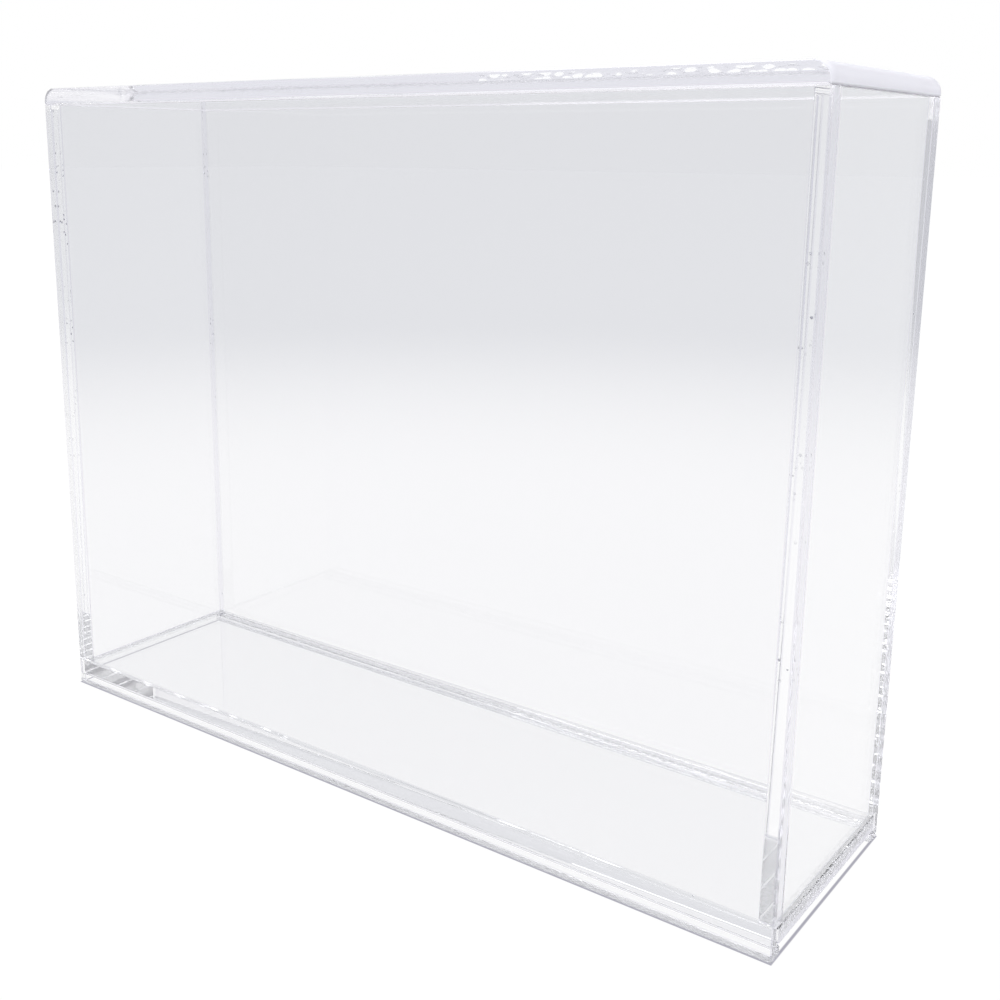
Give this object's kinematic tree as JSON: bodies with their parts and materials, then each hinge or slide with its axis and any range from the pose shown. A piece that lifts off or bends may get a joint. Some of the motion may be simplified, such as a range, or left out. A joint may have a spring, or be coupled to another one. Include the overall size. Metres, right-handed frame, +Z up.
{
  "type": "card deck box",
  "caption": "Clear acrylic box for trading card decks: a cemented case of flat panels whose floor panel slides out lengthwise in grooves.",
  "frame": {"origin": "middle of the box's footprint, at the level of the foot of the long panels", "axes": "+X along the box's length, the way the floor panel slides; +Y from the front panel to the back panel; +Z up"},
  "size_m": [0.1574, 0.0432, 0.1234],
  "materials": {
    "clear_acrylic": "clear cast acrylic sheet, polished faces, machined edges",
    "sawn_edge_acrylic": "clear cast acrylic sheet, polished faces, sawn ends with fine cutter marks"
  },
  "bodies": {
    "case": {"front_panel": "clear_acrylic", "back_panel": "clear_acrylic", "left_end_panel": "clear_acrylic", "right_end_panel": "clear_acrylic", "top_panel": "clear_acrylic"},
    "sliding_floor": {"floor_panel": "sawn_edge_acrylic"}
  },
  "joints": [
    {"name": "floor_slide", "type": "slide", "parent": "case", "child": "sliding_floor", "axis": [1, 0, 0], "range_m": [-0.15, 0.15]}
  ]
}
